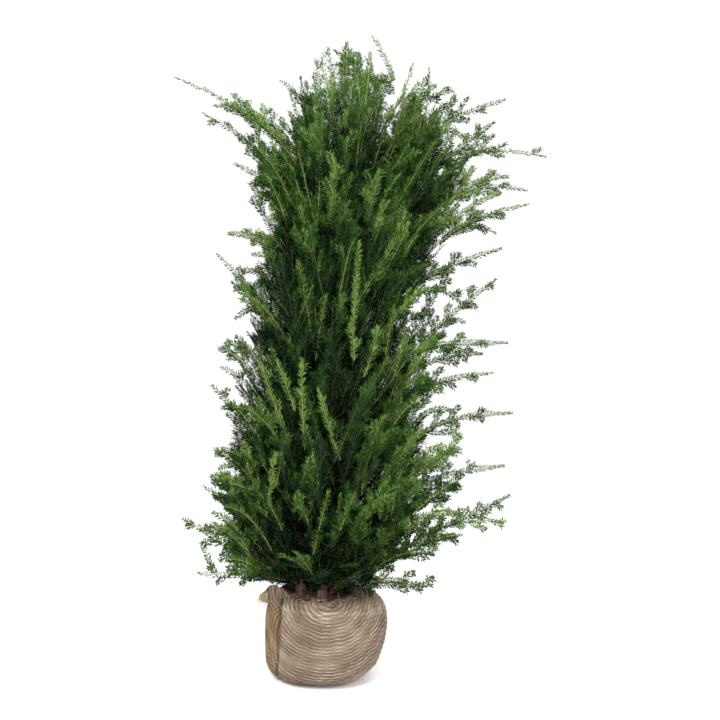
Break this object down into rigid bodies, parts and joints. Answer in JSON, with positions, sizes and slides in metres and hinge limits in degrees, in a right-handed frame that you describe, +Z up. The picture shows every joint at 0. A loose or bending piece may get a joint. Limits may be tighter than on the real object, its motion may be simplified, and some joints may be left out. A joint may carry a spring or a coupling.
{
  "type": "yew sapling with root ball",
  "caption": "Upright many-stemmed yew sapling with dark flat needles and arching shoots, standing on a burlap-wrapped root ball.",
  "frame": {"origin": "middle of the flat underside of the root ball", "axes": "+Z up along the trunk, +X to the plant's right, -Y to its front"},
  "size_m": [1.275, 0.9738, 2.1626],
  "materials": {
    "soil": "damp crumbly soil",
    "burlap": "coarse jute weave",
    "bark": "flaking reddish brown bark",
    "foliage": "dark green needles",
    "young_foliage": "fresh green needles"
  },
  "bodies": {
    "root": {"burlap_ear": "burlap", "burlap_wrap": "burlap", "leader_hooked": "young_foliage", "leader_left": "young_foliage", "leader_middle": "young_foliage", "mass_lower_1": "foliage", "mass_lower_2": "foliage", "mass_lower_3": "foliage", "mass_lower_4": "foliage", "mass_middle_1": "foliage", "mass_middle_2": "foliage", "mass_middle_3": "foliage", "mass_middle_4": "foliage", "mass_shoulder_1": "foliage", "mass_shoulder_2": "foliage", "mass_shoulder_3": "foliage", "mass_skirt_1": "foliage", "mass_skirt_2": "foliage", "mass_skirt_3": "foliage", "mass_skirt_4": "foliage", "mass_top_1": "foliage", "mass_top_2": "foliage", "mass_upper_1": "foliage", "mass_upper_2": "foliage", "mass_upper_3": "foliage", "mass_upper_4": "foliage", "shoot_back_high": "young_foliage", "shoot_back_low": "young_foliage", "shoot_front_high": "young_foliage", "shoot_front_low": "young_foliage", "shoot_left_far": "young_foliage", "shoot_left_fork": "young_foliage", "shoot_left_high": "young_foliage", "shoot_left_hooked": "young_foliage", "shoot_left_long": "young_foliage", "shoot_left_low": "young_foliage", "shoot_left_lower": "young_foliage", "shoot_left_middle": "young_foliage", "shoot_left_short": "young_foliage", "shoot_left_waist": "young_foliage", "shoot_left_wide": "young_foliage", "shoot_right_arch": "young_foliage", "shoot_right_far": "young_foliage", "shoot_right_level": "young_foliage", "shoot_right_long": "young_foliage", "shoot_right_low": "young_foliage", "shoot_right_lower": "young_foliage", "shoot_right_straight": "young_foliage", "shoot_right_tall": "young_foliage", "shoot_right_top": "young_foliage", "shoot_right_upper": "young_foliage", "shoot_right_waist": "young_foliage", "shoot_right_wide": "young_foliage", "soil_ball": "soil", "stem_1": "bark", "stem_2": "bark", "stem_3": "bark", "stem_4": "bark", "stem_5": "bark", "trunk": "bark"}
  },
  "joints": []
}
